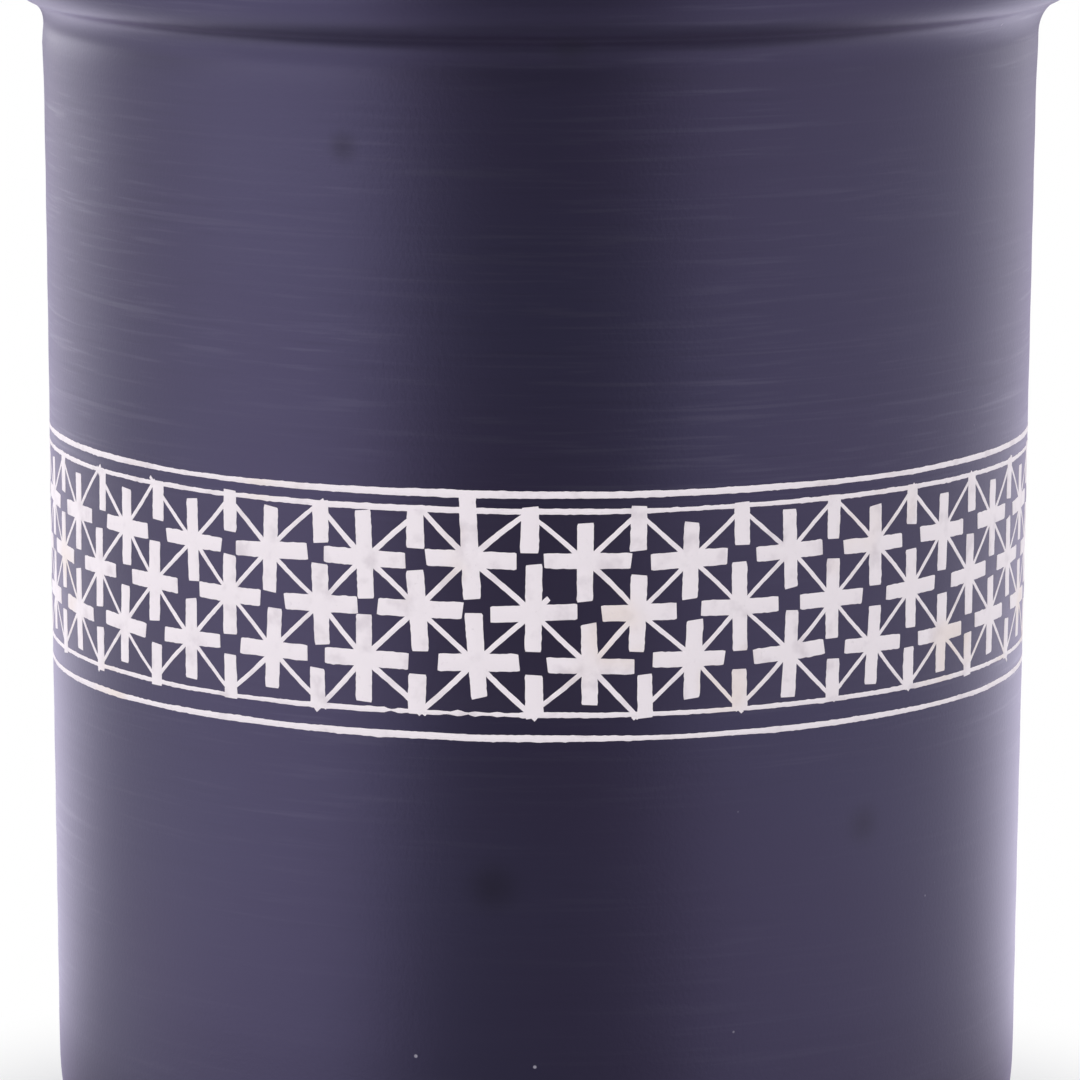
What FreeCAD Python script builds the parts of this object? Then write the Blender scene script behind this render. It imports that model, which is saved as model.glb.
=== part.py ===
"""Straight-sided black clay pot with a band of small stars around its wall.

The pot is thrown and turned in one piece: standing ring, rounded heel, slightly flaring wall and
rolled lip. The band is cut into the wall and its cuts are filled with a silver-white paste, so each
ring line, broad bar and hairline is a small solid of its own that lies in a groove of the clay.

Millimetres, +Z up. The origin is the middle of the standing ring, on the surface the pot stands on.
A star of the middle row faces -Y.
"""

import FreeCAD
import Part
import Sketcher

import math
import os

SIZES = [
    # the thrown pot
    ("pot_height", 130.0),  # surface it stands on to the top of the lip
    ("neck_radius", 49.4),  # outside of the wall where it turns out into the lip
    ("heel_radius", 48.4),  # outside of the wall where the heel begins
    ("heel_height", 14.0),  # top of the rounded heel
    ("heel_lower_round", 7.0),  # tighter round next to the standing ring
    ("foot_radius", 40.0),  # outer edge of the flat standing ring
    ("recess_radius", 31.0),  # inner edge of the standing ring
    ("recess_depth", 1.2),  # hollow turned into the underside
    ("recess_slope", 45.0),  # degrees between the hollow's side and its flat
    ("floor_thickness", 7.0),  # from the standing surface to the floor inside
    ("wall_at_floor", 5.8),
    ("wall_at_lip", 4.9),
    ("floor_corner_round", 9.0),
    # the rolled lip
    ("lip_height", 13.1),  # top of the lip down to where the wall turns out
    ("lip_radius", 54.2),
    ("neck_round", 3.35),  # hollow round between wall and lip
    ("lip_lower_round", 4.0),
    ("lip_outer_round", 3.6),
    ("lip_inner_round", 2.4),
    # the band
    ("star_count", 30),  # stars in one full row
    ("band_height", 66.4),  # standing surface to the middle row
    ("row_gap", 4.85),  # height between neighbouring rows, and from outer rows to the inner lines
    ("inner_line_width", 0.5),
    ("outer_line_width", 0.6),
    ("upper_line_gap", 1.55),  # middle of the upper inner line to the middle of the upper outer one
    ("lower_line_gap", 2.25),
    ("bar_width", 1.55),
    ("bar_length_upright", 7.9),
    ("bar_length_level", 8.2),
    ("hairline_width", 0.46),
    ("groove_depth", 0.7),
    ("paste_proud", 0.03),  # paste above the clay, from rubbing it in
]
VALUE = dict(SIZES)

# Heights of the band's rows, as multiples of row_gap above the middle row.
TOP_BORDER, UPPER_ROW, MIDDLE_ROW, LOWER_ROW, BOTTOM_BORDER = 2, 1, 0, -1, -2

# A pocket's frame reaches past what it trims by this much.
FRAME_MARGIN = 2.0

START, END = 1, 2  # a sketch edge's two ends
ORIGIN = (-1, START)
HEIGHT_AXIS = (-2, START)

doc = FreeCAD.newDocument("BlackClayPot")
sheet = doc.addObject("Spreadsheet::Sheet", "Sizes")
for row, (name, value) in enumerate(SIZES, start=1):
    sheet.set(f"A{row}", name)
    sheet.set(f"B{row}", str(value))
    sheet.setAlias(f"B{row}", name)
doc.recompute()


def row_height(row):
    """Height of a row of the band, as an expression."""
    return f"(Sizes.band_height + {row} * Sizes.row_gap)"


def wall_radius(height):
    """Outer radius of the wall at a height, as an expression."""
    flare = "(Sizes.neck_radius - Sizes.heel_radius)"
    wall_height = "(Sizes.pot_height - Sizes.lip_height - Sizes.heel_height)"
    return f"(Sizes.heel_radius + {flare} * ({height} - Sizes.heel_height) / {wall_height})"


def half_pitch():
    """Half the distance between neighbouring stars of a row, as an expression."""
    return f"({wall_radius(row_height(MIDDLE_ROW))} * sin(180deg / Sizes.star_count))"


def worked_out(expression):
    """The number that an expression gives now, to draw a sketch near where its constraints put it."""
    return float(sheet.evalExpression(expression))


def new_body(name):
    body = doc.addObject("PartDesign::Body", name)
    body.Label = name
    body.AllowCompound = True
    return body


def new_sketch(body, name, plane):
    """A sketch on one of the body's own origin planes: XZ_Plane for sections, YZ_Plane for outlines."""
    sketch = body.newObject("Sketcher::SketchObject", name)
    origin_plane = next(f for f in body.Origin.OriginFeatures if f.Role == plane)
    sketch.AttachmentSupport = (origin_plane, "")
    sketch.MapMode = "FlatFace"
    return sketch


def bind(sketch, kind, *where, to):
    """A sketch dimension whose value is an expression."""
    index = sketch.addConstraint(Sketcher.Constraint(kind, *where, worked_out(to)))
    sketch.setExpression(f"Constraints[{index}]", to)


def draw_polygon(sketch, corners):
    """A closed outline whose corners are pairs of expressions, each bound from the origin."""
    points = [FreeCAD.Vector(worked_out(across), worked_out(up), 0) for across, up in corners]
    edges = []
    for start, end in zip(points, points[1:] + points[:1]):
        edges.append(sketch.addGeometry(Part.LineSegment(start, end)))
    for before, after in zip(edges[-1:] + edges[:-1], edges):
        sketch.addConstraint(Sketcher.Constraint("Coincident", before, END, after, START))
    for edge, (across, up) in zip(edges, corners):
        bind(sketch, "DistanceX", *ORIGIN, edge, START, to=across)
        bind(sketch, "DistanceY", *ORIGIN, edge, START, to=up)


def revolve(body, sketch, angle):
    """Turns a section about the pot's axis, evenly to both sides of the section's plane."""
    turned = body.newObject("PartDesign::Revolution", body.Name + "_turned")
    turned.Profile = sketch
    turned.ReferenceAxis = (sketch, ["V_Axis"])
    turned.Midplane = True
    turned.setExpression("Angle", angle)
    sketch.Visibility = False
    return turned


# ---------------------------------------------------------------------------------- the thrown pot


class Profile:
    """The pot's half section, drawn as one run of lines and arcs, each starting where the last one ended."""

    def __init__(self, sketch, start):
        self.sketch = sketch
        self.at = FreeCAD.Vector(*start, 0)
        self.ends = []  # for each edge: its number, the end it starts at, the end it stops at
        self.smooth = False  # True where the run meets its next edge without a corner

    def _join(self, edge, first, last):
        if self.ends:
            before, _, stop = self.ends[-1]
            kind = "Tangent" if self.smooth else "Coincident"
            self.sketch.addConstraint(Sketcher.Constraint(kind, before, stop, edge, first))
        self.ends.append((edge, first, last))
        return edge

    def line(self, x, z, smooth=False):
        end = FreeCAD.Vector(x, z, 0)
        edge = self.sketch.addGeometry(Part.LineSegment(self.at, end))
        self.at = end
        self._join(edge, START, END)
        self.smooth = smooth
        return edge

    def arc(self, centre, x, z, left_turn=False):
        """An arc about centre to (x, z), smooth at both ends. The sketcher draws arcs anticlockwise only."""
        end = FreeCAD.Vector(x, z, 0)
        middle = FreeCAD.Vector(*centre, 0)
        from_angle, to_angle = (math.atan2(p.y - middle.y, p.x - middle.x) for p in (self.at, end))
        first, last = START, END
        if not left_turn:
            from_angle, to_angle = to_angle, from_angle
            first, last = END, START
        circle = Part.Circle(middle, FreeCAD.Vector(0, 0, 1), (end - middle).Length)
        edge = self.sketch.addGeometry(Part.ArcOfCircle(circle, from_angle, to_angle))
        self.at = end
        self.smooth = True
        return self._join(edge, first, last)

    def close(self):
        first_edge, first_end, _ = self.ends[0]
        last_edge, _, last_end = self.ends[-1]
        self.sketch.addConstraint(
            Sketcher.Constraint("Coincident", last_edge, last_end, first_edge, first_end)
        )


def heel_upper_round():
    """Radius and centre of the long heel arc, tangent to the wall and to the tighter lower arc."""
    lower = VALUE["heel_lower_round"]
    rise = VALUE["pot_height"] - VALUE["lip_height"] - VALUE["heel_height"]
    lean = math.atan2(VALUE["neck_radius"] - VALUE["heel_radius"], rise)
    out, down = math.cos(lean), -math.sin(lean)
    across = VALUE["heel_radius"] - VALUE["foot_radius"]
    up = VALUE["heel_height"] - lower
    reach = across * out + up * down
    radius = (across**2 + up**2 - lower**2) / (2 * (reach - lower))
    centre = (VALUE["heel_radius"] - radius * out, VALUE["heel_height"] - radius * down)
    return radius, centre


def between(centre_a, centre_b, distance):
    """The point at a distance from centre_a towards centre_b."""
    length = math.dist(centre_a, centre_b)
    return tuple(a + (b - a) * distance / length for a, b in zip(centre_a, centre_b))


def thrown_pot():
    """The clay before its band is cut: one closed half section turned about the axis."""
    body = new_body("thrown_blank")
    sketch = new_sketch(body, "half_section", "XZ_Plane")
    size = VALUE
    top = size["pot_height"]
    neck = top - size["lip_height"]
    mouth = size["neck_radius"] - size["wall_at_lip"]
    inside_foot = size["heel_radius"] - size["wall_at_floor"]
    corner = size["floor_corner_round"]
    floor = size["floor_thickness"]
    recess = size["recess_depth"]
    ring_inside = size["recess_radius"]
    recess_flat = ring_inside - recess / math.tan(math.radians(size["recess_slope"]))

    neck_centre = (size["neck_radius"] + size["neck_round"], neck)
    lip_face = size["lip_radius"]
    lower_centre_x = lip_face - size["lip_lower_round"]
    reach = size["neck_round"] + size["lip_lower_round"]
    lower_centre = (lower_centre_x, neck + math.sqrt(reach**2 - (neck_centre[0] - lower_centre_x) ** 2))
    heel_radius, heel_centre = heel_upper_round()
    foot_centre = (size["foot_radius"], size["heel_lower_round"])

    run = Profile(sketch, (0, recess))
    axis = run.line(0, floor)
    floor_line = run.line(inside_foot - corner, floor, smooth=True)
    floor_corner = run.arc((inside_foot - corner, floor + corner), inside_foot, floor + corner, left_turn=True)
    inner_wall = run.line(mouth, top - size["lip_inner_round"], smooth=True)
    lip_top_inner = mouth + size["lip_inner_round"]
    inner_round = run.arc((lip_top_inner, top - size["lip_inner_round"]), lip_top_inner, top)
    lip_top = run.line(lip_face - size["lip_outer_round"], top, smooth=True)
    outer_centre = (lip_face - size["lip_outer_round"], top - size["lip_outer_round"])
    outer_round = run.arc(outer_centre, lip_face, outer_centre[1])
    lip_side = run.line(lip_face, lower_centre[1], smooth=True)
    lower_round = run.arc(lower_centre, *between(lower_centre, neck_centre, size["lip_lower_round"]))
    neck_round = run.arc(neck_centre, size["neck_radius"], neck, left_turn=True)
    outer_wall = run.line(size["heel_radius"], size["heel_height"], smooth=True)
    run.arc(heel_centre, *between(heel_centre, foot_centre, heel_radius))
    heel_tight = run.arc(foot_centre, size["foot_radius"], 0)
    ring = run.line(ring_inside, 0)
    run.line(recess_flat, recess)
    recess_ceiling = run.line(0, recess)
    run.close()

    for edge in (floor_line, lip_top, ring, recess_ceiling):
        sketch.addConstraint(Sketcher.Constraint("Horizontal", edge))
    for edge in (axis, lip_side):
        sketch.addConstraint(Sketcher.Constraint("Vertical", edge))
    sketch.addConstraint(Sketcher.Constraint("PointOnObject", axis, START, HEIGHT_AXIS[0]))
    sketch.addConstraint(Sketcher.Constraint("PointOnObject", ring, START, ORIGIN[0]))

    neck_height = "Sizes.pot_height - Sizes.lip_height"
    bind(sketch, "DistanceY", *ORIGIN, axis, START, to="Sizes.recess_depth")
    bind(sketch, "DistanceY", *ORIGIN, floor_line, START, to="Sizes.floor_thickness")
    bind(sketch, "DistanceX", *ORIGIN, inner_wall, START, to="Sizes.heel_radius - Sizes.wall_at_floor")
    bind(sketch, "DistanceX", *ORIGIN, inner_wall, END, to="Sizes.neck_radius - Sizes.wall_at_lip")
    bind(sketch, "DistanceY", *ORIGIN, lip_top, START, to="Sizes.pot_height")
    bind(sketch, "DistanceX", *ORIGIN, lip_side, START, to="Sizes.lip_radius")
    bind(sketch, "DistanceX", *ORIGIN, outer_wall, START, to="Sizes.neck_radius")
    bind(sketch, "DistanceY", *ORIGIN, outer_wall, START, to=neck_height)
    bind(sketch, "DistanceX", *ORIGIN, outer_wall, END, to="Sizes.heel_radius")
    bind(sketch, "DistanceY", *ORIGIN, outer_wall, END, to="Sizes.heel_height")
    bind(sketch, "DistanceX", *ORIGIN, ring, START, to="Sizes.foot_radius")
    bind(sketch, "DistanceX", *ORIGIN, ring, END, to="Sizes.recess_radius")
    slope_run = "Sizes.recess_radius - Sizes.recess_depth / tan(Sizes.recess_slope * 1deg)"
    bind(sketch, "DistanceX", *ORIGIN, recess_ceiling, START, to=slope_run)
    bind(sketch, "Radius", floor_corner, to="Sizes.floor_corner_round")
    bind(sketch, "Radius", inner_round, to="Sizes.lip_inner_round")
    bind(sketch, "Radius", outer_round, to="Sizes.lip_outer_round")
    bind(sketch, "Radius", lower_round, to="Sizes.lip_lower_round")
    bind(sketch, "Radius", neck_round, to="Sizes.neck_round")
    bind(sketch, "Radius", heel_tight, to="Sizes.heel_lower_round")
    if sketch.solve() != 0:
        raise RuntimeError("the pot's half section can't be drawn with these sizes")
    revolve(body, sketch, "360")
    return body


# ----------------------------------------------------------------------------- the band's fillings


def strip_section(body, low, high):
    """Section of the paste between two heights: as deep as the grooves, and along the wall."""
    sketch = new_sketch(body, body.Name + "_section", "XZ_Plane")
    back, face = "- Sizes.groove_depth", "+ Sizes.paste_proud"
    corners = [
        (wall_radius(low) + back, low),
        (wall_radius(low) + face, low),
        (wall_radius(high) + face, high),
        (wall_radius(high) + back, high),
    ]
    draw_polygon(sketch, corners)
    return sketch


def line_ring(name, middle, width):
    """A ring line around the pot."""
    body = new_body(name)
    section = strip_section(body, f"({middle} - {width} / 2)", f"({middle} + {width} / 2)")
    revolve(body, section, "360")
    return body


def cut_strip(name, low, high, outlines):
    """One pitch of a strip of paste, with everything outside the outlines cut off it."""
    body = new_body(name)
    strip = revolve(body, strip_section(body, low, high), "360 / Sizes.star_count")

    sketch = new_sketch(body, name + "_outline", "YZ_Plane")
    side = f"({half_pitch()} + {FRAME_MARGIN})"
    bottom, top = f"({low} - {FRAME_MARGIN})", f"({high} + {FRAME_MARGIN})"
    draw_polygon(sketch, [("-" + side, bottom), (side, bottom), (side, top), ("-" + side, top)])
    for outline in outlines:
        draw_polygon(sketch, outline)

    trim = body.newObject("PartDesign::Pocket", name + "_trim")
    trim.Profile = sketch
    trim.Type = "ThroughAll"
    trim.Reversed = True
    sketch.Visibility = False
    doc.recompute()
    if trim.Shape.Volume >= strip.Shape.Volume:
        raise RuntimeError(f"{name}: the outlines took nothing off the strip")
    return body


def broad_row(name, low, high, outline, between_columns):
    """Broad bars repeated around the pot, turned by half a pitch if they stand between the columns."""
    body = cut_strip(name, low, high, [outline])
    around = body.newObject("PartDesign::PolarPattern", name + "_around")
    around.TransformMode = "Whole shape"
    around.Axis = (body.Tip.Profile[0], ["V_Axis"])
    around.Angle = 360
    around.setExpression("Occurrences", "Sizes.star_count")
    body.Tip = around
    if between_columns:
        body.setExpression("Placement.Rotation.Angle", "180 / Sizes.star_count")
    return body


def cross_outline(middle):
    """Two broad bars across each other."""
    thick, tall, wide = "Sizes.bar_width / 2", "Sizes.bar_length_upright / 2", "Sizes.bar_length_level / 2"
    corners = []
    for side, end in ((1, 1), (-1, 1), (-1, -1), (1, -1)):
        upright = (f"{side} * {thick}", f"{middle} + {end} * {tall}")
        inner = (f"{side} * {thick}", f"{middle} + {end} * {thick}")
        level = (f"{side} * {wide}", f"{middle} + {end} * {thick}")
        corners += [level, inner, upright] if side == end else [upright, inner, level]
    return corners


def crosses(name, row):
    """One row of crosses. The middle row stands between the columns of the other two."""
    middle = row_height(row)
    low, high = f"({middle} - Sizes.row_gap)", f"({middle} + Sizes.row_gap)"
    return broad_row(name, low, high, cross_outline(middle), between_columns=row == MIDDLE_ROW)


def border_bars(name, border):
    """The half of an upright bar that stands inside the border, from the inner line inwards."""
    inwards = -1 if border > 0 else 1
    line_edge = f"({row_height(border)} + {inwards} * Sizes.inner_line_width / 2)"
    tip = f"({row_height(border)} + {inwards} * Sizes.bar_length_upright / 2)"
    low, high = (tip, line_edge) if inwards < 0 else (line_edge, tip)
    side, past = "Sizes.bar_width / 2", FRAME_MARGIN / 2
    bottom, top = f"({low} - {past})", f"({high} + {past})"
    outline = [("-" + side, bottom), (side, bottom), (side, top), ("-" + side, top)]
    return broad_row(name, low, high, outline, between_columns=True)


def cut_away(name, base, tools):
    """What is left of base once the tools have passed through it."""
    together = doc.addObject("Part::Compound", name + "_tools")
    together.Links = tools
    cut = doc.addObject("Part::Cut", name)
    cut.Label = name
    cut.Base = base
    cut.Tool = together
    return cut


def hairlines(name, row, neighbour, broad):
    """Hairlines between the stars of a row and those of the neighbouring row or border.

    The two legs of one star start and end inside the broad bars, are cut back to the bars' faces,
    and stand around the pot as linked copies.
    """
    start = row_height(row)
    away = neighbour - row
    run = half_pitch()
    rise = f"{away} * Sizes.row_gap"
    half_height = f"Sizes.hairline_width / 2 * sqrt({run}^2 + Sizes.row_gap^2) / {run}"
    near = "Sizes.bar_width / 4"
    far = f"({run} - {near})"
    legs = []
    for side in ("", "-"):
        leg = []
        for across, edge in ((near, -1), (far, -1), (far, 1), (near, 1)):
            leg.append((f"{side}{across}", f"{start} + {rise} * {across} / {run} + {edge} * {half_height}"))
        legs.append(leg)
    end = row_height(neighbour)
    if neighbour in (TOP_BORDER, BOTTOM_BORDER):
        end = f"({end} - {away} * Sizes.inner_line_width / 2)"
    low, high = (start, end) if away > 0 else (end, start)
    pair = cut_away(name + "_pair", cut_strip(name + "_legs", low, high, legs), broad)

    around = doc.addObject("Part::Compound", name)
    around.Label = name
    copies = []
    for place in range(round(VALUE["star_count"])):
        copy = doc.addObject("App::Link", f"{name}_{place}")
        copy.LinkedObject = pair
        copy.LinkTransform = True
        copy.setExpression("Placement.Rotation.Angle", f"{place} * 360 / Sizes.star_count")
        copies.append(copy)
    around.Links = copies
    return around


def band():
    """All the paste of the band: ring lines, broad bars, and the hairlines between the bars."""
    upper_inner, lower_inner = row_height(TOP_BORDER), row_height(BOTTOM_BORDER)
    lines = [
        line_ring("upper_outer_line", f"({upper_inner} + Sizes.upper_line_gap)", "Sizes.outer_line_width"),
        line_ring("upper_inner_line", upper_inner, "Sizes.inner_line_width"),
        line_ring("lower_inner_line", lower_inner, "Sizes.inner_line_width"),
        line_ring("lower_outer_line", f"({lower_inner} - Sizes.lower_line_gap)", "Sizes.outer_line_width"),
    ]
    broad = {
        TOP_BORDER: border_bars("upper_border_bars", TOP_BORDER),
        UPPER_ROW: crosses("upper_row_crosses", UPPER_ROW),
        MIDDLE_ROW: crosses("middle_row_crosses", MIDDLE_ROW),
        LOWER_ROW: crosses("lower_row_crosses", LOWER_ROW),
        BOTTOM_BORDER: border_bars("lower_border_bars", BOTTOM_BORDER),
    }
    fine = [
        hairlines(name, row, neighbour, [broad[row], broad[neighbour]])
        for name, row, neighbour in (
            ("hairlines_upper_border", UPPER_ROW, TOP_BORDER),
            ("hairlines_upper_to_middle", UPPER_ROW, MIDDLE_ROW),
            ("hairlines_middle_to_lower", LOWER_ROW, MIDDLE_ROW),
            ("hairlines_lower_border", LOWER_ROW, BOTTOM_BORDER),
        )
    ]
    return lines + list(broad.values()) + fine


def check(objects):
    """Stops where a feature failed or a sub-part has no sound shape."""
    failed = [o.Name for o in doc.Objects if "Invalid" in o.State or "Error" in o.State]
    if failed:
        raise RuntimeError(f"these features failed: {failed}")
    for part in objects:
        if part.Shape.isNull() or not part.Shape.isValid() or not part.Shape.Solids:
            raise RuntimeError(f"{part.Label} has no sound shape")


def main():
    blank = thrown_pot()
    paste = band()
    doc.recompute()
    clay = cut_away("clay_pot", blank, paste)
    doc.recompute()
    nodes = [clay] + paste
    check(nodes)
    os.makedirs("parts", exist_ok=True)
    for node in nodes:
        node.Shape.exportStep(f"parts/{node.Label}.step")
        volume = sum(solid.Volume for solid in node.Shape.Solids)
        print(f"{node.Label}: {len(node.Shape.Solids)} solids, {volume:.1f} mm3")


main()
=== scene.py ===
"""Dresses the black clay pot: hand-burnished clay, and a hand-cut band filled with silver-white paste.

Metres, +Z up, as in the frame. A place on the wall is an angle and a height: angle 0 faces -Y, where a
star of the middle row stands, and angles grow towards +X.
"""

import math

import bpy
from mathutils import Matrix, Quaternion, Vector, noise


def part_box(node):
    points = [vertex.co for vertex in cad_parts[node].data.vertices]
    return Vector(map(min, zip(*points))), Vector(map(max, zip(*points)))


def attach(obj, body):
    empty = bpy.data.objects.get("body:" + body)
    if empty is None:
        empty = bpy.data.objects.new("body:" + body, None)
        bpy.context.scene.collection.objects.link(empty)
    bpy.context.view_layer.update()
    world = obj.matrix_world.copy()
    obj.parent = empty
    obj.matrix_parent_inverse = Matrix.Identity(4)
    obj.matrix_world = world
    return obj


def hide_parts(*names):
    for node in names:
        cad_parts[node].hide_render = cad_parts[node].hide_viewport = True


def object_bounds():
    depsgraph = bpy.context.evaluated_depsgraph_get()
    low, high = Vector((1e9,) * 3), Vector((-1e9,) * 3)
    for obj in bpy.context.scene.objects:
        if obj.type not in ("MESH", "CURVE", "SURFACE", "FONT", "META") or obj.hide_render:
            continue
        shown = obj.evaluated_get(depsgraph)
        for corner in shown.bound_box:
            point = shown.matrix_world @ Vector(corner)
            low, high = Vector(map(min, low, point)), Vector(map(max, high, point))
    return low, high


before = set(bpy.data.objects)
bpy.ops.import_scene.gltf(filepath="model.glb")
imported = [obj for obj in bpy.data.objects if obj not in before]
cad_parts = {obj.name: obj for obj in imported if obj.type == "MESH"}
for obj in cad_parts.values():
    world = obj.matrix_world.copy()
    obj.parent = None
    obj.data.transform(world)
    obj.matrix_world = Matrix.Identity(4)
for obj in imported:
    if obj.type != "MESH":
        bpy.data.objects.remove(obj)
cad_low, cad_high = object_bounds()

MM = 0.001
TURN = math.tau


# ------------------------------------------------------------------------- sizes taken from the frame


SAME_HEIGHT = 0.02 * MM  # points this close in height belong to one ring


def ring_points(height):
    """How far from the axis the clay's corner points lie at a height, smallest and largest."""
    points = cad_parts["clay_pot"].data.vertices
    found = [math.hypot(p.co.x, p.co.y) for p in points if abs(p.co.z - height) < SAME_HEIGHT]
    return min(found), max(found)


BOXES = {node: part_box(node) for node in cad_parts}


def middle_height(node):
    low, high = BOXES[node]
    return (low.z + high.z) / 2


def tallness(node):
    low, high = BOXES[node]
    return high.z - low.z


POT_HEIGHT = cad_high.z
LIP_RADIUS = cad_high.x
NECK_HEIGHT = 116.9 * MM
NECK_RADIUS = ring_points(NECK_HEIGHT)[1]
HEEL_HEIGHT = 14.0 * MM
HEEL_RADIUS = ring_points(HEEL_HEIGHT)[1]
HEEL_LOWER_ROUND = 7.0 * MM
RECESS_RADIUS, FOOT_RADIUS = ring_points(0)
RECESS_DEPTH = 1.2 * MM
FLOOR_HEIGHT = 7.0 * MM
FLOOR_CORNER = 9.0 * MM
INSIDE_RADIUS = 42.6 * MM  # above the floor's rounded corner
MOUTH_RADIUS = 44.5 * MM
NECK_ROUND = 3.35 * MM
LIP_LOWER_ROUND = 4.0 * MM
LIP_OUTER_ROUND = 3.6 * MM
LIP_INNER_ROUND = 2.4 * MM

STARS = 30  # in a full row
PITCH = TURN / STARS
COLUMNS = range(-STARS // 2, STARS // 2)  # of stars, with 0 in front
LINES = ("upper_outer_line", "upper_inner_line", "lower_inner_line", "lower_outer_line")
UPPER_ROW, MIDDLE_ROW, LOWER_ROW = "upper_row_crosses", "middle_row_crosses", "lower_row_crosses"
BAR_LENGTH = tallness(MIDDLE_ROW)
LEVEL_BAR_LENGTH = 8.2 * MM
BAR_WIDTH = 1.55 * MM
HAIRLINE_WIDTH = 0.46 * MM
CAP_RADIUS = 0.4 * MM  # of the small caps that close the skin on the axis


# --------------------------------------------------------------------------------- the turned shape


def run_of_points(start, end, spacing):
    """Points from start up to, and without, the end of a straight run."""
    steps = max(1, round(math.dist(start, end) / spacing))
    return [tuple(a + (b - a) * i / steps for a, b in zip(start, end)) for i in range(steps)]


def arc_of_points(centre, radius, first, last, spacing):
    """Points from the first angle up to, and without, the last one, in degrees about a centre."""
    steps = max(2, round(radius * math.radians(abs(last - first)) / spacing))
    angles = (math.radians(first + (last - first) * i / steps) for i in range(steps))
    return [(centre[0] + radius * math.cos(a), centre[1] + radius * math.sin(a)) for a in angles]


def heel_upper_arc():
    """Centre, radius and lean of the long heel arc, smooth with the wall and with the lower arc."""
    lean = math.atan2(NECK_RADIUS - HEEL_RADIUS, NECK_HEIGHT - HEEL_HEIGHT)
    across, up = HEEL_RADIUS - FOOT_RADIUS, HEEL_HEIGHT - HEEL_LOWER_ROUND
    reach = across * math.cos(lean) - up * math.sin(lean)
    radius = (across**2 + up**2 - HEEL_LOWER_ROUND**2) / (2 * (reach - HEEL_LOWER_ROUND))
    centre = (HEEL_RADIUS - radius * math.cos(lean), HEEL_HEIGHT + radius * math.sin(lean))
    return centre, radius, math.degrees(lean)


def pot_outline():
    """The half section from the middle of the underside, up the outside, over the lip and down inside."""
    foot_centre = (FOOT_RADIUS, HEEL_LOWER_ROUND)
    heel_centre, heel_radius, lean = heel_upper_arc()
    turn_over = math.degrees(math.atan2(foot_centre[1] - heel_centre[1], foot_centre[0] - heel_centre[0]))
    neck_centre = (NECK_RADIUS + NECK_ROUND, NECK_HEIGHT)
    reach = NECK_ROUND + LIP_LOWER_ROUND
    lower_x = LIP_RADIUS - LIP_LOWER_ROUND
    lower_centre = (lower_x, NECK_HEIGHT + math.sqrt(reach**2 - (neck_centre[0] - lower_x) ** 2))
    hand_over = math.degrees(math.atan2(lower_centre[1] - neck_centre[1], lower_x - neck_centre[0]))
    outer_centre = (LIP_RADIUS - LIP_OUTER_ROUND, POT_HEIGHT - LIP_OUTER_ROUND)
    inner_centre = (MOUTH_RADIUS + LIP_INNER_ROUND, POT_HEIGHT - LIP_INNER_ROUND)
    corner_centre = (INSIDE_RADIUS - FLOOR_CORNER, FLOOR_HEIGHT + FLOOR_CORNER)
    recess_flat = RECESS_RADIUS - RECESS_DEPTH

    # The last value of each run and arc is the spacing of its points.
    points = run_of_points((CAP_RADIUS, RECESS_DEPTH), (recess_flat, RECESS_DEPTH), 1.6 * MM)
    points += run_of_points((recess_flat, RECESS_DEPTH), (RECESS_RADIUS, 0), 0.6 * MM)
    points += run_of_points((RECESS_RADIUS, 0), (FOOT_RADIUS, 0), 1.5 * MM)
    points += arc_of_points(foot_centre, HEEL_LOWER_ROUND, -90, turn_over, 0.8 * MM)
    points += arc_of_points(heel_centre, heel_radius, turn_over, -lean, 1.0 * MM)
    points += run_of_points((HEEL_RADIUS, HEEL_HEIGHT), (NECK_RADIUS, NECK_HEIGHT), 1.2 * MM)
    points += arc_of_points(neck_centre, NECK_ROUND, 180, hand_over, 0.35 * MM)
    points += arc_of_points(lower_centre, LIP_LOWER_ROUND, hand_over - 180, 0, 0.4 * MM)
    points += run_of_points((LIP_RADIUS, lower_centre[1]), (LIP_RADIUS, outer_centre[1]), 0.6 * MM)
    points += arc_of_points(outer_centre, LIP_OUTER_ROUND, 0, 90, 0.4 * MM)
    points += run_of_points((outer_centre[0], POT_HEIGHT), (inner_centre[0], POT_HEIGHT), 0.8 * MM)
    points += arc_of_points(inner_centre, LIP_INNER_ROUND, 90, 180, 0.4 * MM)
    wall_foot = (INSIDE_RADIUS, corner_centre[1])
    points += run_of_points((MOUTH_RADIUS, inner_centre[1]), wall_foot, 1.7 * MM)
    points += arc_of_points(corner_centre, FLOOR_CORNER, 0, -90, 1.2 * MM)
    points += run_of_points((corner_centre[0], FLOOR_HEIGHT), (CAP_RADIUS, FLOOR_HEIGHT), 1.8 * MM)
    return points


def wall_radius(height):
    """The outside of the straight wall."""
    share = (height - HEEL_HEIGHT) / (NECK_HEIGHT - HEEL_HEIGHT)
    return HEEL_RADIUS + (NECK_RADIUS - HEEL_RADIUS) * share


def eased(share):
    """0 up to 0, 1 from 1 on, and a smooth step between them."""
    share = min(1.0, max(0.0, share))
    return share * share * (3 - 2 * share)


USUAL_RADIUS = 49 * MM
SEED_STEP = 17.3  # how far apart in the noise two whole seeds read it


def wander(angle, height, size, seed):
    """A slow unevenness from -1 to 1 that closes on itself around the pot. Size is in metres."""
    reach = USUAL_RADIUS / size
    place = (math.sin(angle) * reach, -math.cos(angle) * reach, height / size + seed * SEED_STEP)
    return noise.noise(Vector(place))


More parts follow.
